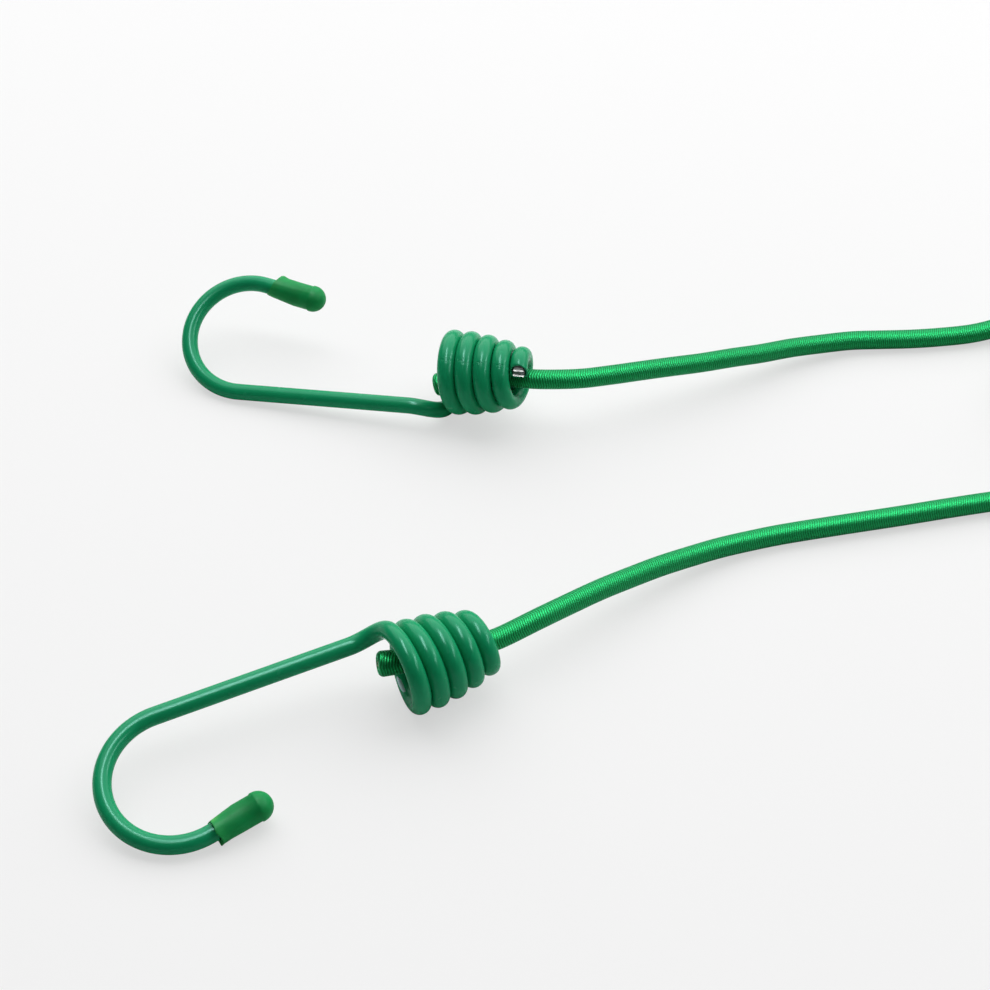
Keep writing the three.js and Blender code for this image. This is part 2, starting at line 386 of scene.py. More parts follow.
@dataclass(frozen=True)
class DippedCoating:
    """Glossy plastic on bent wire: faint orange peel, dents of winding, and one light metal patch that is a
    painted reflection.
    """

    base: Colour = painted(20, 155, 101)
    deep: Colour = painted(16, 146, 94)
    worn: Colour = painted(60, 165, 122)
    # Colour of the painted reflection patch, drawn as light bare metal
    painted_reflection_colour: Colour = painted(186, 198, 204)
    roughness: float = 0.25
    peel: float = 0.014 * MM
    waves: float = 0.03 * MM
    dent: float = 0.10 * MM
    scuffed_share: float = 0.18
    shine: float = 0.22
    shine_tint: Colour = (0.52, 0.95, 0.92)

    def make(self) -> bpy.types.Material:
        """Makes the finish, which reads the mesh's own attribute "dents" and the attribute of its painted
        reflection patch.

        Returns:
            The material.
        """
        shader = Shader("dipped_coating")
        place = shader.places()
        clouds = shader.noise(place, 90.0, 3.0)
        scuffs = shader.noise(place, 420.0, 4.0).smooth(0.62, 0.80)
        dents = shader.attribute("dents")
        pits = dents * shader.noise(place, 1500.0, 1.0).smooth(0.50, 0.62)
        colour = shader.blend(clouds, self.base, self.deep)
        colour = shader.blend(scuffs * self.scuffed_share, colour, self.worn)
        # Painted reflection: a light, metallic patch where a reflection falls inside the first turn of hook
        # b
        painted_reflection_mask = shader.attribute("painted_reflection").smooth(0.15, 0.45)
        colour = shader.blend(painted_reflection_mask, colour, self.painted_reflection_colour)
        waves = shader.bump(shader.noise(place, 170.0, 1.0), self.waves)
        peel = shader.bump(shader.noise(place, 520.0, 2.0), self.peel, waves)
        return shader.surface(
            {
                "Base Color": colour,
                "Roughness": scuffs * 0.10 + clouds * 0.08 + painted_reflection_mask * 0.12 + (self.roughness - 0.04),
                "Metallic": painted_reflection_mask,
                "Normal": shader.bump(1.0 - pits, self.dent, peel),
                "Specular IOR Level": self.shine,
                "Specular Tint": (*self.shine_tint, 1.0),
            }
        )


@dataclass(frozen=True)
class CutSteel:
    """Drawn steel wire, with the tracks of the blades across its cut end."""

    base: Colour = painted(126, 127, 126)
    dull: Colour = painted(84, 85, 84)
    roughness: float = 0.46
    track: float = 0.05 * MM

    def make(self) -> bpy.types.Material:
        """Makes the finish.

        Returns:
            The material.
        """
        shader = Shader("cut_steel")
        place = shader.places()
        tracks = shader.noise(place, 900.0, 3.0, (1.0, 0.35, 5.0))
        stains = shader.noise(place, 500.0, 3.0).smooth(0.55, 0.85)
        return shader.surface(
            {
                "Base Color": shader.blend(stains, self.base, self.dull),
                "Metallic": 1.0,
                "Roughness": tracks * 0.20 + stains * 0.15 + (self.roughness - 0.10),
                "Normal": shader.bump(tracks, self.track),
            }
        )


@dataclass(frozen=True)
class SoftPlastic:
    """Soft matt plastic of a pushed-on cap, with painted light shining through its thinner wall near the
    mouth, yellower there.
    """

    base: Colour = painted(3, 146, 74)
    mottled: Colour = painted(2, 135, 66)
    # Colour of the painted glow, where light shining through the thinner wall is painted in
    painted_glow_colour: Colour = painted(92, 196, 84)
    painted_glow_share: float = 0.80
    roughness: float = 0.46
    grain: float = 0.012 * MM
    waves: float = 0.10 * MM
    shine: float = 0.18
    shine_tint: Colour = (0.70, 1.0, 0.85)
    glow_share: float = 0.12
    glow_reach: Triple = (0.4 * MM, 1.2 * MM, 0.4 * MM)

    def make(self) -> bpy.types.Material:
        """Makes the finish, which reads the mesh's own attribute "mouth".

        Returns:
            The material.
        """
        shader = Shader("soft_plastic")
        place = shader.places()
        clouds = shader.noise(place, 160.0, 3.0)
        grain = shader.noise(place, 3800.0, 2.0)
        colour = shader.blend(clouds.smooth(0.35, 0.70), self.base, self.mottled)
        # Painted glow of light through the thinner wall: yellow-green near the mouth and at one spot
        colour = shader.blend(shader.attribute("mouth") * self.painted_glow_share, colour, self.painted_glow_colour)
        waves = shader.bump(shader.noise(place, 260.0, 2.0), self.waves)
        return shader.surface(
            {
                "Base Color": colour,
                "Roughness": clouds * 0.14 + (self.roughness - 0.05),
                "Normal": shader.bump(grain, self.grain, waves),
                "Specular IOR Level": self.shine,
                "Specular Tint": (*self.shine_tint, 1.0),
                "Subsurface Weight": self.glow_share,
                "Subsurface Radius": self.glow_reach,
                "Subsurface Scale": 1.0,
            }
        )


@dataclass(frozen=True)
class Braid:
    """Silky cover of an elastic cord: fine ribs nearly across it, in columns that lean in turn, with
    painted shade in the grooves and painted highlights on the crests.
    """

    # Painted light on the ribs: the lighter colour is a painted highlight on the crests, the darkest one
    # painted shade in the grooves
    lit: Colour = painted(38, 158, 100)
    base: Colour = painted(4, 150, 77)
    painted_groove_shade: Colour = painted(0, 96, 42)
    rib: float = 0.70 * MM
    columns: int = 3
    lean_share: float = 0.55
    depth: float = 0.12 * MM
    threads_per_column: float = 6.0
    threads_per_metre: float = 900.0
    metal_share: float = 0.52
    sheen_share: float = 0.70
    sheen_roughness: float = 0.42
    sheen_tint: Colour = (0.16, 0.76, 0.42)
    shine: float = 0.25
    shine_tint: Colour = (0.60, 1.0, 0.85)

    def make(self) -> bpy.types.Material:
        """Makes the finish, whose UV map runs in metres along the cord and once round it.

        Returns:
            The material.
        """
        shader = Shader("braid")
        uv = shader.node("ShaderNodeUVMap", {"uv_map": "along"}).outputs["UV"]
        along, round_it, _ = shader.parts(uv)
        place = shader.places()
        drift = shader.noise(place, 120.0, 2.0) * 0.8
        column = round_it * float(self.columns)
        lean = column.zigzag() * (2.0 * self.lean_share)
        crest = (along * (1.0 / self.rib) + lean + drift).sine() * 0.5 + 0.5
        threads = column * self.threads_per_column + along * self.threads_per_metre
        threads = threads.sine() * 0.5 + 0.5
        dive = 1.0 - column.zigzag().math("SUBTRACT", 0.5).math("ABSOLUTE") * 2.0
        height = crest * 0.74 + dive.smooth(0.0, 0.6) * 0.14 + threads * 0.12
        patches = shader.noise(place, 700.0, 3.0)
        # Painted shade in the grooves between ribs, and painted highlights on the crests in patches
        colour = shader.blend(crest.smooth(0.05, 0.55), self.painted_groove_shade, self.base)
        colour = shader.blend(crest.smooth(0.6, 1.0) * patches, colour, self.lit)
        return shader.surface(
            {
                "Base Color": colour,
                "Metallic": self.metal_share,
                "Sheen Weight": self.sheen_share,
                "Sheen Roughness": self.sheen_roughness,
                "Sheen Tint": (*self.sheen_tint, 1.0),
                "Roughness": 0.42 - crest * 0.08 + patches * 0.10,
                "Normal": shader.bump(height, self.depth),
                "Specular IOR Level": self.shine,
                "Specular Tint": (*self.shine_tint, 1.0),
            }
        )


@dataclass(frozen=True)
class CutRubber:
    """Ends of the rubber strands in a cut cord, dusty and a little yellow."""

    base: Colour = painted(196, 188, 160)
    dust: Colour = painted(150, 150, 118)
    pits: float = 0.05 * MM

    def make(self) -> bpy.types.Material:
        """Makes the finish.

        Returns:
            The material.
        """
        shader = Shader("cut_rubber")
        place = shader.places()
        dust = shader.noise(place, 2600.0, 3.0)
        return shader.surface(
            {
                "Base Color": shader.blend(dust.smooth(0.4, 0.7), self.base, self.dust),
                "Roughness": dust * 0.15 + 0.62,
                "Normal": shader.bump(dust, self.pits),
            }
        )


@dataclass(frozen=True)
class PaleFloor:
    """Plain pale surface that the line lies on.

    The camera sees one grey with a glow, and light that bounces off it or is mirrored in the
    line has its own colours.
    """

    seen: Colour = (0.27, 0.27, 0.27)
    glow: Colour = (0.60, 0.60, 0.60)
    bounced: Colour = (0.74, 0.74, 0.74)
    mirrored: Colour = (0.62, 0.76, 0.72)

    def make(self) -> bpy.types.Material:
        """Makes the finish.

        Returns:
            The material.
        """
        shader = Shader("pale_floor")
        path = shader.node("ShaderNodeLightPath")
        from_camera = Term(shader, path.outputs["Is Camera Ray"])
        from_gloss = Term(shader, path.outputs["Is Glossy Ray"])
        indirect = shader.blend(from_gloss, self.bounced, self.mirrored)
        return shader.surface(
            {
                "Base Color": shader.blend(from_camera, indirect, self.seen),
                "Emission Color": shader.blend(from_camera, (0.0, 0.0, 0.0), self.glow),
                "Emission Strength": 1.0,
                "Roughness": 0.75,
                "Specular IOR Level": 0.2,
            }
        )


@dataclass(frozen=True)
class Finishes:
    """All the finishes of the line, made once."""

    coating: bpy.types.Material
    steel: bpy.types.Material
    cap: bpy.types.Material
    braid: bpy.types.Material
    rubber: bpy.types.Material

    @staticmethod
    def made() -> Finishes:
        """Makes every finish once.

        Returns:
            The finishes.
        """
        return Finishes(
            coating=DippedCoating().make(),
            steel=CutSteel().make(),
            cap=SoftPlastic().make(),
            braid=Braid().make(),
            rubber=CutRubber().make(),
        )


# Modelling


class Workpiece:
    """A mesh on the bench, shaped in its own frame and then put in its place."""

    def __init__(self, name: str) -> None:
        """Takes the object that was just added.

        Args:
            name: The piece's name.
        """
        self.object = bpy.context.object
        self.object.name = name
        self.object.data.name = name

    @staticmethod
    def clear() -> None:
        """Goes out of edit mode and deselects all."""
        if bpy.context.mode != "OBJECT":
            bpy.ops.object.mode_set(mode="OBJECT")
        bpy.ops.object.select_all(action="DESELECT")

    @classmethod
    def ring(cls, name: str, sides: int, radius: float, height: float) -> Workpiece:
        """Starts from a ring of edges, square to Z.

        Args:
            name: The piece's name.
            sides: Edges round it.
            radius: Its radius.
            height: Its height.

        Returns:
            The piece, in edit mode with the ring selected.
        """
        cls.clear()
        bpy.ops.mesh.primitive_circle_add(vertices=sides, radius=radius, location=(0, 0, 0))
        piece = cls(name)
        piece.edit()
        bpy.ops.mesh.select_mode(type="VERT")
        bpy.ops.mesh.select_all(action="SELECT")
        bpy.ops.transform.translate(value=(0, 0, height))
        return piece

    @classmethod
    def swept(
        cls, name: str, line: Sequence[Vector], radii: Iterable[float], resolution: int
    ) -> Workpiece:
        """Starts from a round section run along a line.

        Args:
            name: The piece's name.
            line: The places of the line.
            radii: The section's radius at each.
            resolution: The curve's bevel resolution.

        Returns:
            The piece, in edit mode with all of it selected.
        """
        cls.clear()
        bpy.ops.curve.primitive_nurbs_path_add(location=(0, 0, 0))
        curve = bpy.context.object.data
        curve.dimensions = "3D"
        curve.twist_mode = "MINIMUM"
        curve.splines.clear()
        spline = curve.splines.new("POLY")
        spline.points.add(len(line) - 1)
        widths = list(radii)
        widest = max(widths)
        for knot, place, width in zip(spline.points, line, widths):
            knot.co = (*place, 1.0)
            knot.radius = width / widest
        curve.bevel_depth = widest
        curve.bevel_resolution = resolution
        curve.use_fill_caps = True
        bpy.ops.object.convert(target="MESH")
        piece = cls(name)
        piece.edit()
        bpy.ops.mesh.select_all(action="SELECT")
        bpy.ops.mesh.remove_doubles(threshold=0.001 * MM)
        bpy.ops.mesh.normals_make_consistent(inside=False)
        return piece

    def edit(self) -> None:
        """Goes into edit mode."""
        bpy.context.view_layer.objects.active = self.object
        if self.object.mode != "EDIT":
            bpy.ops.object.mode_set(mode="EDIT")

    def rest(self) -> bpy.types.Mesh:
        """Goes out of edit mode.

        Returns:
            The mesh.
        """
        if self.object.mode == "EDIT":
            bpy.ops.object.mode_set(mode="OBJECT")
        return self.object.data

    def choose(self, wanted: Callable[[Vector], bool], kind: str = "FACE") -> None:
        """Selects faces by their middle, or vertices by their place.

        Args:
            wanted: Whether a place is wanted.
            kind: FACE or VERT.
        """
        self.edit()
        bpy.ops.mesh.select_mode(type=kind)
        bpy.ops.mesh.select_all(action="DESELECT")
        mesh = self.rest()
        if kind == "FACE":
            for polygon in mesh.polygons:
                polygon.select = wanted(polygon.center)
        else:
            for vertex in mesh.vertices:
                vertex.select = wanted(vertex.co)
        self.edit()

    def rings(self, profile: Iterable[tuple[float, float]], height: float, radius: float) -> None:
        """Extrudes the selected ring through heights and radii.

        Args:
            profile: Each next height and radius.
            height: The ring's height now.
            radius: The ring's radius now.
        """
        for next_height, next_radius in profile:
            bpy.ops.mesh.extrude_region_move(
                TRANSFORM_OT_translate={"value": (0, 0, next_height - height)}
            )
            growth = next_radius / radius
            bpy.ops.transform.resize(value=(growth, growth, 1.0))
            height, radius = next_height, next_radius

    def tidy(self) -> None:
        """Merges doubles and turns all faces outwards."""
        self.edit()
        bpy.ops.mesh.select_mode(type="VERT")
        bpy.ops.mesh.select_all(action="SELECT")
        bpy.ops.mesh.remove_doubles(threshold=0.002 * MM)
        bpy.ops.mesh.normals_make_consistent(inside=False)

    def bevelled(self, width: float, segments: int = 2, angle_deg: float = 32.0) -> None:
        """Rounds the sharp edges.

        Args:
            width: How wide the rounding is.
            segments: Faces across it.
            angle_deg: The least angle that counts as sharp.
        """
        self.rest()
        bevel = self.object.modifiers.new("rounding", "BEVEL")
        bevel.width = width
        bevel.segments = segments
        bevel.limit_method = "ANGLE"
        bevel.angle_limit = math.radians(angle_deg)
        bpy.ops.object.modifier_apply(modifier=bevel.name)

    def smoothed(self, angle_deg: float = 40.0) -> None:
        """Shades the faces smooth.

        Args:
            angle_deg: The angle from which an edge stays sharp.
        """
        self.rest()
        self.clear()
        self.object.select_set(True)
        bpy.ops.object.shade_smooth_by_angle(angle=math.radians(angle_deg))

    def marked(self, name: str, amount: Callable[[Vector], float]) -> None:
        """Writes a number on each vertex.

        Args:
            name: The attribute's name.
            amount: The number at a place.
        """
        mesh = self.rest()
        layer = mesh.attributes.new(name, "FLOAT", "POINT")
        for vertex, value in zip(mesh.vertices, layer.data):
            value.value = amount(vertex.co)

    def placed(self, matrix: Matrix) -> None:
        """Moves the mesh from the bench to its place."""
        self.rest().transform(matrix)
        self.object.data.update()

    def joined(self, *others: Workpiece) -> None:
        """Makes other pieces part of this one."""
        self.rest()
        self.clear()
        for other in others:
            other.rest()
            other.object.select_set(True)
        self.object.select_set(True)
        bpy.context.view_layer.objects.active = self.object
        bpy.ops.object.join()

    def dressed(self, material: bpy.types.Material, slot: Slot, body: Body) -> bpy.types.Object:
        """Finishes the piece.

        Args:
            material: Its material.
            slot: The model's slot that the finish belongs to; it is not used.
            body: The body that it moves with.

        Returns:
            The finished object.
        """
        self.rest()
        self.object.data.materials.clear()
        self.object.data.materials.append(material)
        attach(self.object, body.value)
        return self.object


def upright(place: Vector, up: Vector, side: Vector) -> Matrix:
    """Returns the matrix of a frame.

    Args:
        place: Its origin.
        up: Its Z axis.
        side: A direction that its X axis leans to.

    Returns:
        The matrix.
    """
    z = up.normalized()
    y = z.cross(side).normalized()
    x = y.cross(z)
    turn = Matrix((x, y, z)).transposed().to_4x4()
    return Matrix.Translation(place) @ turn


# Hook


# How near a place counts as on a plane
TOUCH = 0.02 * MM

# Steps along each stretch of the wire
TIP_STEPS = 6
TIP_BEND_STEPS = 40
BEND_STEPS = 36
SHANK_STEPS = 24
NECK_STEPS = 20
COIL_STEPS = 300

CAP_SIDES = 56
HEAD_STEPS = 9
CLAMP_SIDES = 48

# Across the wire's cut end, in mm: how far from its middle, and how far it stands out there
PINCHED_END = (
    (0.92, 0.02), (0.76, 0.56), (0.45, 0.10), (0.00, 0.00), (-0.75, 0.48),
    (-0.93, 1.05), (-1.20, 0.80), (-1.45, 0.10),
)


@dataclass(frozen=True)
class HookSizes:
    """Sizes that both hooks share."""

    core_radius: float = 1.75 * MM
    wire_radius: float = 2.5 * MM
    turns: float = 4.75
    pitch: float = 5.45 * MM
    big_radius: float = 10.45 * MM
    small_radius: float = 6.4 * MM
    taper_start: float = 1.0
    taper_power: float = 1.8
    neck_bend: float = 10.3 * MM
    neck_rise: float = 1.65 * MM
    neck_ease: float = 0.5
    shank: float = 54.8 * MM
    spread_deg: float = 1.9
    lean_deg: float = 5.2
    bend: float = 19.4 * MM
    flank_press: float = 0.082
    press_ease: float = 0.3
    dent_start: float = 2.0 * MM
    dent_side_deg: float = -83.0
    dent_reach: float = 0.07
    # Where the painted reflection patch lies inside the first turn, and how far it reaches
    painted_reflection_place: Triple = (1.3 * MM, -0.6 * MM, 8.9 * MM)
    painted_reflection_reach: Triple = (0.62 * MM, 3.5 * MM, 1.3 * MM)
    sleeve_cut_deg: float = 25.0
    sleeve_set_back: float = -1.00 * MM
    sleeve_mouth: float = 2.12 * MM
    sleeve_lip: float = 0.10 * MM
    sleeve_bore: float = 1.5 * MM
    wire_cut_deg: float = 21.0
    wire_set_back: float = -1.05 * MM
    wire_rim: float = 0.12 * MM
    slope_offset: float = 1.2 * MM
    slope_shares: tuple[float, float] = (0.64, 0.77)
    blade_way: Triple = (0.98, 0.0, -0.19)
    cut_spare: float = 2.6 * MM
    cap_radius: float = 3.85 * MM
    cap_length: float = 16.8 * MM
    cap_grip: float = 11.3 * MM
    head_ledge: float = 0.25 * MM
    head_band: float = 0.5 * MM
    tip_gap: float = 0.3 * MM
    bore_gap: float = 0.05 * MM
    mouth_spare: float = 2.5 * MM
    ragged: float = 0.036 * MM
    parting: float = 0.07 * MM
    hug_side_deg: float = 15.0
    hug: float = 0.98 * MM
    hug_reach: float = 7.5 * MM
    flare: float = 0.15 * MM
    flare_reach: float = 2.6 * MM
    # The painted glow of light through the cap's thinner wall: how far in from the mouth, how strong, and
    # one brighter spot
    painted_glow_reach: float = 3.0 * MM
    painted_glow_share: float = 0.12
    spot_side_deg: float = 52.0
    spot_half_width: float = 0.60
    spot_inset: float = 1.7 * MM
    spot_half_length: float = 1.5 * MM

    @property
    def cap_bore(self) -> float:
        """Returns the radius of the cap's bore."""
        return self.wire_radius + self.bore_gap

    @property
    def head_radius(self) -> float:
        """Returns the radius of the cap's round head."""
        return self.cap_radius + self.head_ledge


@dataclass(frozen=True)
class HookLie:
    """How one hook was bent, how its cap was pushed on, and how it lies.

    The cap's painted glow spot and the coating's painted reflection patch are there at 1 and missing at 0.
    """

    tip_bend: float
    tip_bend_deg: float
    tip: float
    mouth_slant_deg: float
    mouth_flare: float
    painted_glow_spot: float
    roll_deg: float
    tail: float
    tail_lean: float
    painted_reflection: float


LIES = {
    End.A: HookLie(
        tip_bend=17.7 * MM,
        tip_bend_deg=102.2,
        tip=14.8 * MM,
        mouth_slant_deg=-22.0,
        mouth_flare=0.42 * MM,
        painted_glow_spot=0.0,
        roll_deg=27.2,
        tail=2.5 * MM,
        tail_lean=4.8 * MM,
        painted_reflection=0.0,
    ),
    End.B: HookLie(
        tip_bend=18.6 * MM,
        tip_bend_deg=100.5,
        tip=12.4 * MM,
        mouth_slant_deg=-2.0,
        mouth_flare=0.0,
        painted_glow_spot=1.0,
        roll_deg=191.7,
        tail=4.6 * MM,
        tail_lean=4.2 * MM,
        painted_reflection=1.0,
    ),
}

# The caps' ragged mouths: waves round them on each axis, and where each cap's waves start
RAGGED_WAVES = (17, 23, 29)
MOUTH_PHASES = {End.A: 0.7, End.B: 1.1}


@dataclass(frozen=True)
class Cut:
    """A slanting cut: its place, the direction of what is cut and the way the cut faces."""

    place: Vector
    ahead: Vector
    normal: Vector

    def beyond(self, place: Vector) -> float:
        """Returns how far a place lies on the side that the cut faces."""
        return (place - self.place).dot(self.normal)


@dataclass
class Hook:
    """A coated wire hook: steel core, dipped coating and a soft cap on its tip."""

    end: End
    sizes: HookSizes = field(default_factory=HookSizes)
    sides_resolution: int = 12
    core_resolution: int = 6

    def __post_init__(self) -> None:
        """Works out the neck and looks up how the hook lies."""
        self.lie = LIES[self.end]
        self.body = Body(f"hook_{self.end.value}")
        self.neck_radius = self.sizes.big_radius + self.sizes.neck_rise
        self.neck_lead = math.atan2(self.sizes.pitch, FULL_TURN * self.neck_radius)
        self.neck_turn = self.neck_place(1.0)[1] / FULL_TURN
        self.coil_length = self.sizes.pitch * (self.sizes.turns - self.neck_turn)
        spare_turn = self.sizes.cut_spare / (FULL_TURN * self.sizes.small_radius)
        self.turns_past = self.sizes.turns + spare_turn

    def pose(self, joints: Sequence[dict]) -> Matrix:
        """Finds where the hook lies from the swivel that it turns on.

        Args:
            joints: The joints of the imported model.

        Returns:
            The matrix from the hook's own frame.
        """
        swivel = next(joint for joint in joints if joint["child"] == self.body.value)
        axis = Vector(swivel["axis"]).normalized()
        return (
            Matrix.Translation(Vector(swivel["pos_m"]))
            @ Matrix.Rotation(math.atan2(axis.y, axis.x), 4, "Z")
            @ Matrix.Rotation(-math.asin(axis.z), 4, "Y")
            @ Matrix.Rotation(math.radians(self.lie.roll_deg), 4, "X")
        )

    def neck_place(self, share: float) -> tuple[float, float]:
        """Follows the neck.

        Args:
            share: How far along the neck.

        Returns:
            The height along the coil's axis and the angle round it.
        """
        first = math.radians(self.sizes.lean_deg)
        last = QUARTER_TURN - self.neck_lead
        turned = mix(first, last, share)
        along = self.sizes.neck_bend * (math.sin(turned) - math.sin(last))
        angle = self.sizes.neck_bend * (math.cos(first) - math.cos(turned)) / self.neck_radius
        return along, angle

    def radius_at(self, turn: float) -> float:
        """Works out the coil's radius.

        Args:
            turn: The turn, counted from the neck.

        Returns:
            The radius of the wire's middle there.
        """
        sizes = self.sizes
        rise = sizes.neck_rise * max(0.0, 1.0 - turn / sizes.neck_ease)
        taper = max(0.0, turn - sizes.taper_start) / (sizes.turns - sizes.taper_start)
        return sizes.big_radius + rise - (sizes.big_radius - sizes.small_radius) * taper**sizes.taper_power

    @staticmethod
    def round_coil(along: float, radius: float, angle: float) -> Vector:
        """Returns a place round the coil."""
        return Vector((along, -radius * math.cos(angle), -radius * math.sin(angle)))

    def on_coil(self, turn: float) -> Vector:
        """Returns the place of the wire's middle at a turn of the coil."""
        along = self.sizes.pitch * (turn - self.neck_turn)
        return self.round_coil(along, self.radius_at(turn), FULL_TURN * turn)

    def in_plane(self, ahead: float, across: float) -> Vector:
        """Finds a place in the plane of the shank and the bend.

        Args:
            ahead: How far towards the bend.
            across: How far to the side that the bend turns to.

        Returns:
            The place, in the hook's own frame.
        """
        lean = math.radians(self.sizes.lean_deg)
        return Vector(
            (
                self.neck_place(0.0)[0] - ahead * math.cos(lean),
                across - self.neck_radius,
                ahead * math.sin(lean),
            )
        )

    def line(self, last_turn: float) -> list[Vector]:
        """Follows the middle of the wire from its tip to a turn of its coil.

        Args:
            last_turn: The turn at which it ends.

        Returns:
            The places, in the hook's own frame.
        """
        sizes = self.sizes
        spread = math.radians(sizes.spread_deg)
        ahead = Vector((math.cos(spread), -math.sin(spread)))
        inward = Vector((-ahead.y, ahead.x))
        shank_end = ahead * sizes.shank
        bend_centre = shank_end + inward * sizes.bend
        tip_centre = bend_centre + ahead * (sizes.bend - self.lie.tip_bend)
        turned = QUARTER_TURN + math.radians(self.lie.tip_bend_deg)

        def on_arc(centre: Vector, radius: float, angle: float) -> Vector:
            """Returns a place on an arc of the bend."""
            return centre + ahead * (radius * math.sin(angle)) - inward * (radius * math.cos(angle))

        tip_start = on_arc(tip_centre, self.lie.tip_bend, turned)
        tip_back = ahead * math.cos(turned) + inward * math.sin(turned)
        flat = [tip_start + tip_back * (self.lie.tip * (1.0 - share)) for share in spaced(TIP_STEPS)]
        for share in spaced(TIP_BEND_STEPS)[1:]:
            flat.append(on_arc(tip_centre, self.lie.tip_bend, mix(turned, QUARTER_TURN, share)))
        for share in spaced(BEND_STEPS)[1:]:
            flat.append(on_arc(bend_centre, sizes.bend, QUARTER_TURN * (1.0 - share)))
        flat += [shank_end * (1.0 - share) for share in spaced(SHANK_STEPS)[1:]]
        places = [self.in_plane(point.x, point.y) for point in flat]
        for share in spaced(NECK_STEPS)[1:]:
            along, angle = self.neck_place(share)
            places.append(self.round_coil(along, self.radius_at(angle / FULL_TURN), angle))
        turns = (mix(self.neck_turn, last_turn, share) for share in spaced(COIL_STEPS)[1:])
        return places + [self.on_coil(turn) for turn in turns]

    def swept(self, name: str, radius: float, resolution: int) -> Workpiece:
        """Returns a round section run along the wire and a little past its end."""
        line = self.line(self.turns_past)
        return Workpiece.swept(f"{self.body.value}_{name}", line, [radius] * len(line), resolution)

    def build_coating(self) -> Workpiece:
        """Sweeps the coating, presses its turns and opens its cut end inside a narrow lip.

        Returns:
            The coating, in its place.
        """
        sizes = self.sizes
        piece = self.swept("sleeve", sizes.wire_radius, self.sides_resolution)
        self.press_turns(piece)
        cut = self.cut(sizes.sleeve_cut_deg, sizes.sleeve_set_back)
        self.sliced(piece, cut, sizes.wire_radius)
        wall = sizes.wire_radius - sizes.sleeve_mouth - sizes.sleeve_lip
        bpy.ops.mesh.inset(thickness=sizes.sleeve_lip, depth=0.03 * MM)
        bpy.ops.mesh.inset(thickness=wall, depth=-0.04 * MM)
        bpy.ops.mesh.extrude_region_move(
            TRANSFORM_OT_translate={"value": cut.ahead * -sizes.sleeve_bore}
        )
        piece.marked("dents", self.dents)
        piece.marked("painted_reflection", self.painted_reflection)
        piece.smoothed(50.0)
        return piece

    def turn_of(self, place: Vector) -> float:
        """Returns the turn of the coil that a place on the wire belongs to."""
        share = math.atan2(-place.z, -place.y) / FULL_TURN % 1.0
        return round(place.x / self.sizes.pitch + self.neck_turn - share) + share

    def press_turns(self, piece: Workpiece) -> None:
        """Widens the turns along the coil until their flanks almost touch.

        Args:
            piece: The coating.
        """
        sizes = self.sizes
        for vertex in piece.rest().vertices:
            turn = self.turn_of(vertex.co)
            off = vertex.co.x - sizes.pitch * (turn - self.neck_turn)
            if abs(off) < 1.05 * sizes.wire_radius and turn > self.neck_turn:
                eased = min(1.0, (turn - self.neck_turn) / sizes.press_ease)
                vertex.co.x += off * sizes.flank_press * eased

    def cut(self, slant_deg: float, set_back: float) -> Cut:
        """Finds where and how the wire's end was cut.

        Args:
            slant_deg: How far the cut leans outwards.
            set_back: How far it lies behind the wire's end.

        Returns:
            The cut.
        """
        before, last = (self.on_coil(turn) for turn in (self.sizes.turns - 0.01, self.sizes.turns))
        ahead = (last - before).normalized()
        outward = Vector((0.0, last.y, last.z)).normalized()
        slant = math.radians(slant_deg)
        normal = ahead * math.cos(slant) + outward * math.sin(slant)
        return Cut(last - ahead * set_back, ahead, normal.normalized())

    def sliced(self, piece: Workpiece, cut: Cut, radius: float) -> None:
        """Cuts off the end of a swept wire and leaves the cut face selected.

        Args:
            piece: The wire.
            cut: Where it is cut.
            radius: The wire's radius.
        """
        last_turn = self.sizes.turns - 0.25
        piece.choose(
            lambda place: self.turn_of(place) > last_turn and (place - cut.place).length < 2.4 * radius
        )
        bpy.ops.mesh.bisect(
            plane_co=cut.place, plane_no=cut.normal, use_fill=True, clear_outer=True, threshold=0.1 * MM
        )
        self.choose_flat(piece, cut, radius)

    @staticmethod
    def choose_flat(piece: Workpiece, cut: Cut, radius: float) -> None:
        """Selects the one flat face that a cut through wire left.

        Args:
            piece: The wire.
            cut: Where it was cut.
            radius: The wire's radius.
        """
        piece.choose(
            lambda place: abs(cut.beyond(place)) < TOUCH
            and (place - cut.place).length < 0.6 * radius
        )

    def dents(self, place: Vector) -> float:
        """Measures how marked the coil is by winding, which is along one side of its turns.

        Args:
            place: A place on the coating.

        Returns:
            The amount, from 0 to 1.
        """
        sizes = self.sizes
        if place.x < sizes.dent_start or math.hypot(place.y, place.z) <= sizes.small_radius:
            return 0.0
        angle = math.atan2(-place.z, -place.y) - math.radians(sizes.dent_side_deg)
        off = (angle + math.pi) % FULL_TURN - math.pi
        return max(0.0, 1.0 - (off / sizes.dent_reach) ** 2)

    def painted_reflection(self, place: Vector) -> float:
        """Measures the painted reflection patch, a light metal patch at one spot inside the first turn.

        Args:
            place: A place on the coating.

        Returns:
            The amount, from 0 to 1.
        """
        off = place - Vector(self.sizes.painted_reflection_place)
        far = sum((along / reach) ** 2 for along, reach in zip(off, self.sizes.painted_reflection_reach))
        return max(0.0, 1.0 - far) * self.lie.painted_reflection

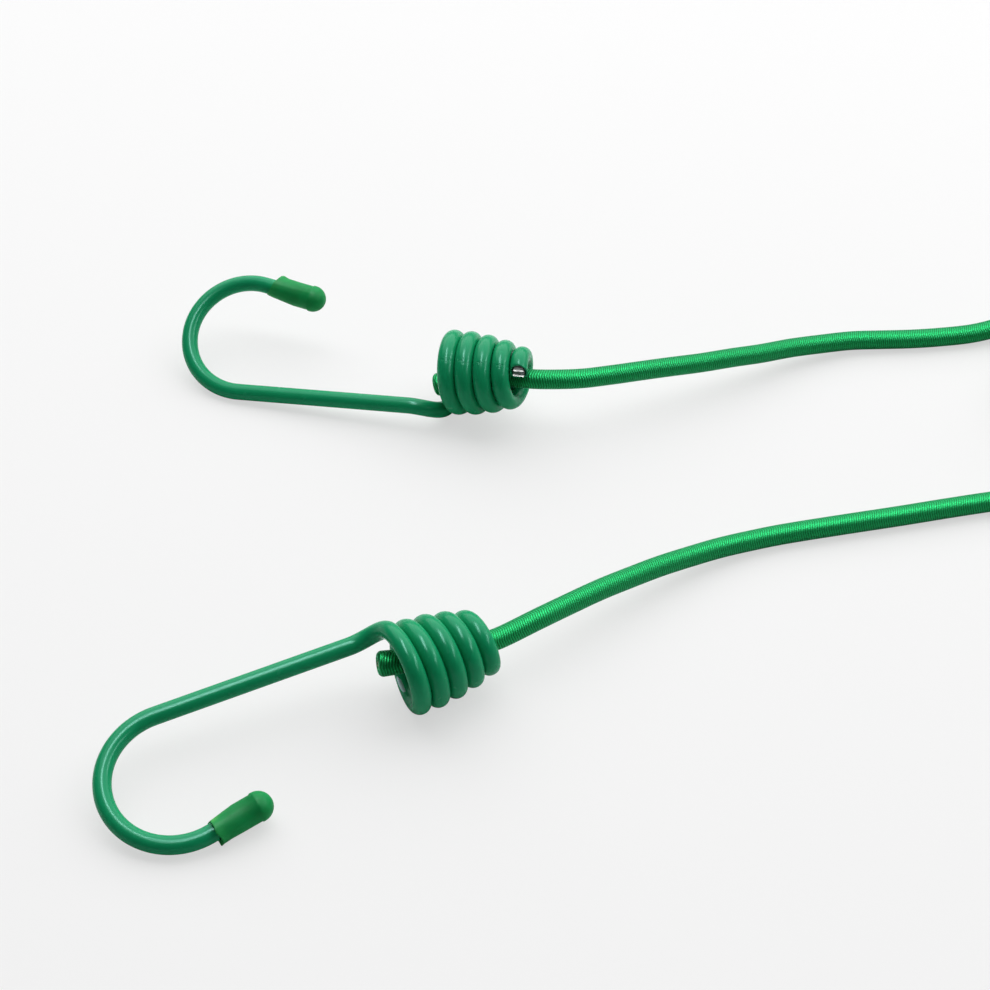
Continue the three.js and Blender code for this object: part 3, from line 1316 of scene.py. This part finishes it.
    def build_core(self) -> Workpiece:
        """Sweeps the steel wire and gives it the pinched end that side cutters leave.

        Returns:
            The core, in its place.
        """
        sizes = self.sizes
        piece = self.swept("wire", sizes.core_radius, self.core_resolution)
        cut = self.cut(sizes.wire_cut_deg, sizes.wire_set_back)
        self.sliced(piece, cut, sizes.core_radius)
        across = cut.normal.cross(Vector(sizes.blade_way)).normalized()
        if across.dot(cut.ahead) > 0.0:
            across.negate()
        facing, aside = sizes.slope_shares
        slope = (cut.normal * facing + across * aside).normalized()
        sloped = Cut(cut.place + across * sizes.slope_offset, cut.ahead, slope)
        self.sliced(piece, sloped, sizes.core_radius)
        self.choose_flat(piece, cut, sizes.core_radius)
        bpy.ops.mesh.inset(thickness=sizes.wire_rim, depth=0.05 * MM)
        for offset, _ in PINCHED_END:
            self.choose_cut_face(piece, cut)
            height = cut.place + across * (offset * MM)
            bpy.ops.mesh.bisect(plane_co=height, plane_no=across, threshold=0.001 * MM)
        for offset, rise in PINCHED_END:
            piece.choose(
                lambda place: abs((place - cut.place).dot(across) - offset * MM) < TOUCH
                and abs(cut.beyond(place)) < 0.17 * MM
                and (place - cut.place).length < 1.3 * sizes.core_radius,
                "VERT",
            )
            bpy.ops.transform.translate(value=cut.normal * (rise * MM))
        piece.smoothed(22.0)
        return piece

    def choose_cut_face(self, piece: Workpiece, cut: Cut) -> None:
        """Selects the faces of the wire's cut end.

        Args:
            piece: The wire.
            cut: Where it was cut.
        """
        piece.choose(
            lambda place: abs(cut.beyond(place)) < 0.10 * MM
            and (place - cut.place).length < 1.3 * self.sizes.core_radius
        )

    def cap_profile(self, mouth: float, head_start: float) -> list[tuple[float, float]]:
        """Draws half of the cap's section, from its bore's floor round its mouth to its head.

        Args:
            mouth: The height of the mouth's middle.
            head_start: The height at which the round head starts.

        Returns:
            The heights and radii.
        """
        sizes = self.sizes
        bore, wall, head = sizes.cap_bore, sizes.cap_radius, sizes.head_radius
        below = mouth - sizes.mouth_spare
        band = head_start - sizes.head_band
        profile = [
            (sizes.tip_gap, bore),
            (mouth + 2.0 * MM, bore),
            (mouth, bore + 0.12 * MM),
            (below, bore + 0.25 * MM),
            (below, wall + 0.25 * MM),
            (mouth, wall + 0.16 * MM),
            (mouth + 0.8 * MM, wall + 0.02 * MM),
            (mouth + 3.0 * MM, wall - 0.04 * MM),
            (mouth + 7.0 * MM, wall),
            (band - 0.25 * MM, wall),
            (band + 0.05 * MM, head),
            (head_start, head),
        ]
        for step in range(1, HEAD_STEPS):
            angle = QUARTER_TURN * step / HEAD_STEPS
            profile.append((head_start + head * math.sin(angle), head * math.cos(angle)))
        return profile

    def build_cap(self) -> Workpiece:
        """Raises the cap from its bore, cuts its mouth at a slant and adds its parting line.

        Returns:
            The cap, in its place on the tip.
        """
        sizes = self.sizes
        middle = sizes.cap_bore * 0.4
        mouth = sizes.tip_gap - sizes.cap_grip
        head_start = mouth + sizes.cap_length - sizes.head_radius
        piece = Workpiece.ring(f"{self.body.value}_end_cap", CAP_SIDES, middle, sizes.tip_gap)
        piece.rings(self.cap_profile(mouth, head_start), sizes.tip_gap, middle)
        bpy.ops.mesh.edge_face_add()
        bpy.ops.mesh.poke(offset=sizes.head_radius * 0.015)
        piece.choose(
            lambda place: abs(place.z - sizes.tip_gap) < 0.01 * MM
            and place.xy.length < sizes.cap_bore * 0.5,
            "VERT",
        )
        bpy.ops.mesh.edge_face_add()
        slant = math.radians(self.lie.mouth_slant_deg)
        inward = Vector((-math.sin(slant), 0.0, math.cos(slant)))
        cut = Cut(Vector((0.0, 0.0, mouth)), Vector((0.0, 0.0, 1.0)), inward)
        bpy.ops.mesh.select_all(action="SELECT")
        bpy.ops.mesh.bisect(plane_co=cut.place, plane_no=cut.normal, clear_inner=True)
        bpy.ops.mesh.bridge_edge_loops()
        piece.tidy()
        self.roughen_mouth(piece, cut)
        for side in (1.0, -1.0):
            piece.choose(
                lambda place: abs(place.x) < 0.05 * MM
                and place.y * side > sizes.cap_radius * 0.9
                and place.z < head_start,
                "VERT",
            )
            bpy.ops.transform.translate(value=(0, side * sizes.parting, 0))
        self.wrinkle_mouth(piece, cut)
        piece.bevelled(0.10 * MM, 2, 50.0)
        piece.marked("mouth", lambda place: self.painted_glow(place, cut))
        piece.smoothed(48.0)
        tip = self.line(sizes.turns)[:2]
        outward = (tip[0] - tip[1]).normalized()
        lean = math.radians(sizes.lean_deg)
        off_plane = Vector((math.sin(lean), 0.0, math.cos(lean)))
        piece.placed(upright(tip[0], outward, outward.cross(off_plane)))
        return piece

    def roughen_mouth(self, piece: Workpiece, cut: Cut) -> None:
        """Shifts each place on the mouth's rim a little, by its own angle and radius.

        Args:
            piece: The cap, standing on its mouth.
            cut: The mouth, facing into the cap.
        """
        for vertex in piece.rest().vertices:
            if abs(cut.beyond(vertex.co)) < TOUCH:
                angle = math.atan2(vertex.co.y, vertex.co.x)
                phase = MOUTH_PHASES[self.end] + vertex.co.xy.length / MM
                shift = [math.sin(count * (angle + phase)) for count in RAGGED_WAVES]
                vertex.co += Vector(shift) * self.sizes.ragged

    def wrinkle_mouth(self, piece: Workpiece, cut: Cut) -> None:
        """Presses one side of the cap's mouth onto the wire and lets the other stand off.

        Args:
            piece: The cap, standing on its mouth.
            cut: The mouth, facing into the cap.
        """
        sizes = self.sizes
        wall = sizes.cap_radius - sizes.cap_bore
        for vertex in piece.rest().vertices:
            inside = max(0.0, cut.beyond(vertex.co))
            angle = math.atan2(vertex.co.y, vertex.co.x) - math.radians(sizes.hug_side_deg)
            outward = Vector((vertex.co.x, vertex.co.y, 0.0)).normalized()
            depth = max(0.0, vertex.co.xy.length - sizes.cap_bore) / wall
            hug = max(0.0, math.cos(angle)) ** 1.5
            hug *= max(0.0, 1.0 - inside / sizes.hug_reach) ** 1.2
            near = max(0.0, 1.0 - inside / sizes.flare_reach) ** 1.5
            flare = max(0.0, -math.cos(angle)) * near * (self.lie.mouth_flare + sizes.flare)
            wave = 0.22 * math.sin(3.0 * angle) + 0.16 * math.sin(5.0 * angle + 1.0)
            vertex.co += outward * (flare - depth * hug * sizes.hug)
            vertex.co.z += near * wave * MM

    def painted_glow(self, place: Vector, cut: Cut) -> float:
        """Measures the painted glow of light through the cap's thinner wall, a little at its mouth and more
        at one spot of it.

        Args:
            place: A place on the cap.
            cut: The mouth, facing into the cap.

        Returns:
            The amount, from 0 to 1.
        """
        sizes = self.sizes
        inside = cut.beyond(place)
        angle = math.atan2(place.y, place.x) - math.radians(sizes.spot_side_deg)
        aside, deeper = angle / sizes.spot_half_width, (inside - sizes.spot_inset) / sizes.spot_half_length
        spot = max(0.0, 1.0 - aside**2 - deeper**2)
        return sizes.painted_glow_share * max(0.0, 1.0 - inside / sizes.painted_glow_reach) + spot * self.lie.painted_glow_spot

    def build(self, joints: Sequence[dict], finishes: Finishes) -> None:
        """Builds and dresses the hook's three pieces in place of the model's own.

        Args:
            joints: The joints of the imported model.
            finishes: The finishes of the line.
        """
        pose = self.pose(joints)
        made = (
            (self.build_coating(), finishes.coating, Slot.COATING, "coating"),
            (self.build_core(), finishes.steel, Slot.STEEL, "core"),
            (self.build_cap(), finishes.cap, Slot.CAP, "cap"),
        )
        for piece, material, slot, node in made:
            piece.placed(pose)
            shown = piece.dressed(material, slot, self.body)
            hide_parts(f"{self.body.value}_{node}")
            LOG.info("%s: %d faces", shown.name, len(shown.data.polygons))


# Cord


def smooth_line(points: Sequence[Vector], step: float) -> list[Vector]:
    """Draws one smooth line through points, as a centripetal spline.

    Args:
        points: The points.
        step: About how far apart the places are.

    Returns:
        Places along the line.
    """
    first = points[0] * 2.0 - points[1]
    last = points[-1] * 2.0 - points[-2]
    knots = [first, *points, last]
    places = [points[0].copy()]
    for p0, p1, p2, p3 in zip(knots, knots[1:], knots[2:], knots[3:]):
        gaps = [math.sqrt((b - a).length) for a, b in ((p0, p1), (p1, p2), (p2, p3))]
        t1 = ((p1 - p0) / gaps[0] - (p2 - p0) / (gaps[0] + gaps[1]) + (p2 - p1) / gaps[1]) * gaps[1]
        t2 = ((p2 - p1) / gaps[1] - (p3 - p1) / (gaps[1] + gaps[2]) + (p3 - p2) / gaps[2]) * gaps[1]
        c2 = (p2 - p1) * 3.0 - t1 * 2.0 - t2
        c3 = (p1 - p2) * 2.0 + t1 + t2
        for u in spaced(max(1, round((p2 - p1).length / step)))[1:]:
            places.append(p1 + t1 * u + c2 * u * u + c3 * u**3)
    return places


@dataclass(frozen=True)
class CordSizes:
    """Sizes of the elastic cord and of the clamps on it."""

    radius: float = 3.0 * MM
    tail_power: float = 1.8
    exit_drop: float = 0.5 * MM
    axis_run: float = 4.0 * MM
    held_points: int = 7
    clamp_inset: float = 7.5 * MM
    clamp_length: float = 6.0 * MM
    clamp_radius: float = 4.8 * MM
    wound: float = 1300.0 * MM
    wind_gap: float = 0.5 * MM
    wind_start_deg: float = -82.0
    wind_end_deg: float = 97.0
    wind_turns: int = 6
    steps_per_turn: int = 96
    fit: float = 0.3 * MM
    tail_swell: float = 0.6 * MM
    rim: float = 1.5 * MM
    loose_run: float = 14.0 * MM
    looseness: float = 0.10
    rim_shares: tuple[float, ...] = (0.03, 0.08, 0.16, 0.27, 0.42, 0.62, 0.81)
    strand: float = 0.30 * MM
    strand_length: float = 0.5 * MM
    strand_rings: tuple[tuple[int, float], ...] = ((6, 0.66 * MM), (12, 1.32 * MM))
    clamp_gap: float = 0.05 * MM
    chamfer: float = 0.5 * MM
    crimps: tuple[float, ...] = (1.6 * MM, 3.5 * MM)
    crimp_slope: float = 0.4 * MM
    crimp_floor: float = 0.5 * MM
    crimp_share: float = 0.93


WIND_CENTRE = Vector((249.46 * MM, 68.52 * MM))

# The stretches of cord from each hook to the wound length, in mm
ROUTES = {
    End.A: (
        (71.5, 59.6, 17.3), (81.5, 62.6, 16.2), (90.5, 66, 14.9), (100, 69.9, 13.2), (109.5, 73.8, 11.4),
        (119.5, 78.3, 9.6), (129.5, 82.9, 7.5), (139.5, 87.7, 5.7), (149.5, 91.3, 4.3), (159.5, 93.9, 3.5),
        (168.5, 94.8, 3.1), (178.5, 95.3, 3), (188.5, 96.3, 3), (198.5, 97.9, 3.1), (206.5, 99.9, 3.9),
        (214.5, 102.7, 5.9), (223.5, 106.1, 8.3),
    ),
    End.B: (
        (58.5, -34.7, 12.7), (67, -28.2, 11.6), (75.5, -21.6, 10.2), (84, -15.4, 8.5), (93, -9.2, 6.8),
        (102, -3.8, 5.2), (111, 0.8, 4.1), (120, 4.4, 3.3), (129, 7.2, 3), (146.5, 11.1, 3),
        (164.5, 14.9, 3), (182.5, 18.9, 3), (195.5, 21.5, 3), (209.5, 23.3, 3), (226.5, 24.2, 3),
    ),
}


@dataclass
class Cord:
    """The elastic cord from one cut tail to the other, with its clamps."""

    hooks: dict[End, Hook]
    poses: dict[End, Matrix]
    sizes: CordSizes = field(default_factory=CordSizes)
    sides: int = 28
    step: float = 1.6 * MM

    def __post_init__(self) -> None:
        """Works out the winding."""
        sizes = self.sizes
        self.turns = sizes.wind_turns + (sizes.wind_end_deg - sizes.wind_start_deg) / 360.0
        self.wind_step = 2.0 * sizes.radius + sizes.wind_gap
        self.wind_radius = sizes.wound / (FULL_TURN * self.turns)

    def held_place(self, end: End, along: float) -> Vector:
        """Finds the cord's middle inside a hook's coil.

        Args:
            end: The hook's end of the line.
            along: How far along the coil's axis.

        Returns:
            The place.
        """
        hook = self.hooks[end]
        back = max(0.0, hook.coil_length - along) / (hook.coil_length + hook.lie.tail)
        lean = -hook.lie.tail_lean * back**self.sizes.tail_power
        place = self.poses[end] @ Vector((along, lean, 0.0))
        place.z -= self.sizes.exit_drop * (1.0 - back) ** 2
        return place

    def wind_place(self, turn: float) -> Vector:
        """Finds the cord's middle in the wound length.

        Args:
            turn: The turn, from 0 at end b.

        Returns:
            The place.
        """
        off = turn - self.turns / 2.0
        radius = self.wind_radius + self.wind_step * (abs(off) - self.turns / 4.0)
        share = min(1.0, max(0.0, off * 2.0 + 0.5))
        climbed = share * share * (3.0 - 2.0 * share)
        angle = math.radians(self.sizes.wind_start_deg) + FULL_TURN * turn
        return Vector(
            (
                WIND_CENTRE.x + radius * math.cos(angle),
                WIND_CENTRE.y + radius * math.sin(angle),
                self.sizes.radius + self.wind_step * climbed,
            )
        )

    def wind_lead(self, turn: float, distance: float) -> Vector:
        """Goes straight on from an end of the wound length.

        Args:
            turn: The turn at that end.
            distance: How far, negative towards end b.

        Returns:
            The place.
        """
        ahead = self.wind_place(turn + 1 / 24) - self.wind_place(turn - 1 / 24)
        ahead.z = 0.0
        return self.wind_place(turn) + ahead.normalized() * distance

    def stretch(self, end: End) -> list[Vector]:
        """Follows the cord from a cut tail to the wound length.

        Args:
            end: The tail's end of the line.

        Returns:
            The places.
        """
        hook = self.hooks[end]
        last = hook.coil_length + self.sizes.axis_run
        held = [
            self.held_place(end, mix(-hook.lie.tail, last, share))
            for share in spaced(self.sizes.held_points - 1)
        ]
        turn, side = (self.turns, 1.0) if end is End.A else (0.0, -1.0)
        arrival = [
            self.wind_lead(turn, side * (count * 2.0 * self.sizes.radius + self.sizes.fit))
            for count in (2, 1)
        ]
        route = [Vector(point) * MM for point in ROUTES[end]]
        return smooth_line([*held, *route, *arrival], self.step)

    def line(self) -> list[Vector]:
        """Follows the whole cord.

        Returns:
            The places of its middle, from tail a to tail b.
        """
        wound = [self.wind_lead(self.turns, self.sizes.radius)]
        count = round(self.turns * self.sizes.steps_per_turn)
        wound += [self.wind_place(self.turns * (1.0 - share)) for share in spaced(count)]
        wound.append(self.wind_lead(0.0, -self.sizes.radius))
        return [*self.stretch(End.A), *wound, *reversed(self.stretch(End.B))]

    def radius_at(self, end: End, run: float) -> float:
        """Works out the cord's radius near a cut end, where it is slack and drawn in at its rim.

        Args:
            end: The cut end.
            run: How far from it.

        Returns:
            The radius.
        """
        sizes = self.sizes
        slack_run = self.hooks[end].lie.tail + sizes.clamp_inset
        slack = sizes.tail_swell * max(0.0, 1.0 - run / slack_run) ** 0.7
        drawn = 1.0 - min(1.0, run / sizes.rim)
        return (sizes.radius + slack) * (0.60 + 0.40 * math.sqrt(1.0 - drawn * drawn))

    def rib_place(self, run: float, total: float) -> float:
        """Returns how far the ribs have come at a run of the cord; they are looser at its ends."""
        tail = self.sizes.loose_run
        return run + self.sizes.looseness * (max(0.0, tail - run) - max(0.0, tail - (total - run)))

    def finer_line(self) -> list[Vector]:
        """Follows the whole cord, with more places at both rims.

        Returns:
            The places of its middle.
        """
        line, shares = self.line(), self.sizes.rim_shares
        first = [line[0].lerp(line[1], share) for share in shares]
        last = [line[-1].lerp(line[-2], share) for share in reversed(shares)]
        return [line[0], *first, *line[1:-1], *last, line[-1]]

    def tube_places(self, line: Sequence[Vector], runs: Sequence[float]) -> list[Vector]:
        """Draws a ring round each place of the cord's middle.

        Args:
            line: The middle.
            runs: How far along the cord each of its places is.

        Returns:
            The places of all rings.
        """
        total = runs[-1]
        normal = (line[1] - line[0]).cross(Vector((0, 0, 1))).normalized()
        vertices = []
        for place, before, after, run in zip(line, [line[0], *line], [*line[1:], line[-1]], runs):
            ahead = (after - before).normalized()
            normal = (normal - ahead * normal.dot(ahead)).normalized()
            across = ahead.cross(normal)
            if run < total / 2:
                radius = self.radius_at(End.A, run)
            else:
                radius = self.radius_at(End.B, total - run)
            for side in range(self.sides):
                angle = FULL_TURN * side / self.sides
                off = normal * math.cos(angle) + across * math.sin(angle)
                vertices.append(place + off * radius)
        return vertices

    def tube_mesh(self, line: Sequence[Vector], runs: Sequence[float]) -> bpy.types.Mesh:
        """Makes the cord's open tube, with a UV map in metres along it and once round it.

        Args:
            line: The middle.
            runs: How far along the cord each of its places is.

        Returns:
            The mesh.
        """
        ribs = [self.rib_place(run, runs[-1]) for run in runs]
        faces, places = [], []
        for index, (here, there) in enumerate(zip(ribs, ribs[1:])):
            first, second = index * self.sides, (index + 1) * self.sides
            for side in range(self.sides):
                after = (side + 1) % self.sides
                faces.append((first + side, first + after, second + after, second + side))
                low, high = side / self.sides, (side + 1) / self.sides
                places += [(here, low), (here, high), (there, high), (there, low)]
        mesh = bpy.data.meshes.new("cord_braided")
        mesh.from_pydata(self.tube_places(line, runs), [], faces)
        layer = mesh.uv_layers.new(name="along")
        for loop, place in zip(layer.data, places):
            loop.uv = place
        return mesh

    def build_tube(self) -> tuple[Workpiece, list[Vector], float]:
        """Makes the cord as one tube and closes its cut ends.

        Returns:
            The piece, its middle line and its length.
        """
        line = self.finer_line()
        runs = [0.0]
        for a, b in zip(line, line[1:]):
            runs.append(runs[-1] + (b - a).length)
        cord = bpy.data.objects.new("cord_braided", self.tube_mesh(line, runs))
        bpy.context.scene.collection.objects.link(cord)
        Workpiece.clear()
        bpy.context.view_layer.objects.active = cord
        cord.select_set(True)
        piece = Workpiece("cord_braided")
        for place in (line[0], line[-1]):
            piece.choose(lambda co: (co - place).length < self.sizes.radius * 0.73, "VERT")
            bpy.ops.mesh.edge_face_add()
            bpy.ops.mesh.inset(thickness=0.12 * MM, depth=-0.15 * MM)
            bpy.ops.mesh.inset(thickness=0.02 * MM, depth=-0.60 * MM)
        piece.tidy()
        piece.smoothed(60.0)
        return piece, line, runs[-1]

    def build_cut(self, end: End, place: Vector, outward: Vector) -> Workpiece:
        """Makes the ends of the rubber strands that show in a cut tail.

        Args:
            end: Which end of the line.
            place: The middle of the cut.
            outward: The direction that it faces.

        Returns:
            The piece.
        """
        sizes = self.sizes
        spots = [Vector((0.0, 0.0))]
        for count, radius in sizes.strand_rings:
            angles = [FULL_TURN * step / count for step in range(count)]
            spots += [Vector((radius * math.cos(a), radius * math.sin(a))) for a in angles]
        strands = []
        for index, spot in enumerate(spots):
            Workpiece.clear()
            bpy.ops.mesh.primitive_cylinder_add(
                vertices=10, radius=sizes.strand, depth=sizes.strand_length
            )
            piece = Workpiece(f"strand_{index}")
            piece.choose(lambda middle: middle.z > 0.2 * MM)
            bpy.ops.mesh.inset(thickness=0.10 * MM, depth=0.05 * MM)
            uneven = 0.05 * ((index * 7) % 5) - 0.72
            piece.placed(Matrix.Translation((spot.x, spot.y, uneven * MM)))
            strands.append(piece)
        bundle = strands[0]
        bundle.object.name = f"cord_cut_{end.value}"
        bundle.object.data.name = bundle.object.name
        bundle.joined(*strands[1:])
        bundle.placed(upright(place, outward, Vector((0, 0, 1))))
        bundle.smoothed(40.0)
        return bundle

    def build_clamp(self, end: End) -> Workpiece:
        """Makes the crimped ferrule on the cord inside a hook's coil.

        Args:
            end: Which end of the line.

        Returns:
            The piece, in its place.
        """
        sizes = self.sizes
        bore = sizes.radius + sizes.clamp_gap
        outer, length, chamfer = sizes.clamp_radius, sizes.clamp_length, sizes.chamfer
        piece = Workpiece.ring(f"ferrule_{end.value}", CLAMP_SIDES, bore, 0.0)
        profile = [(0.0, outer - chamfer), (chamfer, outer)]
        for crimp in sizes.crimps:
            floor = crimp + sizes.crimp_slope
            profile += [
                (crimp, outer),
                (floor, outer * sizes.crimp_share),
                (floor + sizes.crimp_floor, outer * sizes.crimp_share),
                (floor + sizes.crimp_floor + sizes.crimp_slope, outer),
            ]
        profile += [
            (length - chamfer, outer),
            (length, outer - chamfer),
            (length, bore),
            (0.0, bore),
        ]
        piece.rings(profile, 0.0, bore)
        piece.tidy()
        piece.bevelled(0.08 * MM, 2)
        piece.smoothed(40.0)
        start = self.held_place(end, sizes.clamp_inset)
        ahead = self.held_place(end, sizes.clamp_inset + length) - start
        piece.placed(upright(start, ahead, Vector((0, 0, 1))))
        return piece

    def build(self, finishes: Finishes) -> None:
        """Args:
            finishes: The finishes of the line.
        """
        tube, line, total = self.build_tube()
        inner = len(self.sizes.rim_shares) + 1
        cord = tube.dressed(finishes.braid, Slot.CORD, Body.CORD)
        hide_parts("cord_a", "cord_b", "cord_wound")
        for end, place, behind in ((End.A, line[0], line[inner]), (End.B, line[-1], line[-1 - inner])):
            cut = self.build_cut(end, place, place - behind)
            cut.dressed(finishes.rubber, Slot.CORD, Body.CORD)
            clamp = self.build_clamp(end)
            clamp.dressed(finishes.steel, Slot.STEEL, Body.CORD)
            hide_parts(f"clamp_{end.value}")
        out = self.held_place(End.A, self.hooks[End.A].coil_length)
        2.0 * self.sizes.radius
        LOG.info("cord: %.3f m, %d faces", total, len(cord.data.polygons))


# Stage

FLOOR_WIDTH = 12.0


def make_world(fill: float = 0.09, seen: float = 0.96) -> None:
    """Sets a faint white fill light, and a pale grey that only the camera sees.

    Args:
        fill: The fill's strength.
        seen: The grey that the camera sees.
    """
    world = bpy.data.worlds.new("pale_world")
    bpy.context.scene.world = world
    world.use_nodes = True
    nodes, links = world.node_tree.nodes, world.node_tree.links
    nodes.clear()
    backgrounds = []
    for grey, strength in ((1.0, fill), (seen, 1.0)):
        backgrounds.append(nodes.new("ShaderNodeBackground"))
        backgrounds[-1].inputs["Color"].default_value = (grey, grey, grey, 1.0)
        backgrounds[-1].inputs["Strength"].default_value = strength
    path = nodes.new("ShaderNodeLightPath")
    either = nodes.new("ShaderNodeMath")
    either.operation = "MAXIMUM"
    links.new(path.outputs["Is Camera Ray"], either.inputs[0])
    links.new(path.outputs["Is Transmission Ray"], either.inputs[1])
    mixed = nodes.new("ShaderNodeMixShader")
    for socket, value in enumerate((either, *backgrounds)):
        links.new(value.outputs[0], mixed.inputs[socket])
    output = nodes.new("ShaderNodeOutputWorld")
    links.new(mixed.outputs[0], output.inputs["Surface"])


def build_stage(target: Vector) -> None:
    """Lays the pale floor and lights the scene.

    Args:
        target: The place that the lamps face.
    """
    Workpiece.clear()
    bpy.ops.mesh.primitive_plane_add(size=FLOOR_WIDTH, location=(0, 0, 0))
    floor = bpy.context.object
    floor.name = "floor"
    floor.data.materials.append(PaleFloor().make())
    for lamp in LAMPS:
        lamp.make(target)
    make_world()


def main() -> None:
    """Builds the line on its frame."""
    logging.basicConfig(level=logging.INFO, format="%(name)s: %(message)s")
    bpy.ops.wm.read_factory_settings(use_empty=True)
    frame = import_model()
    scene = bpy.context.scene
    scene.view_settings.view_transform = "Standard"

    view = View()
    view.make()
    hooks = {end: Hook(end) for end in End}
    poses = {end: hook.pose(frame["joints"]) for end, hook in hooks.items()}
    finishes = Finishes.made()
    Cord(hooks, poses).build(finishes)
    for hook in hooks.values():
        hook.build(frame["joints"], finishes)
    build_stage(view.target)


if __name__ == "__main__":
    main()
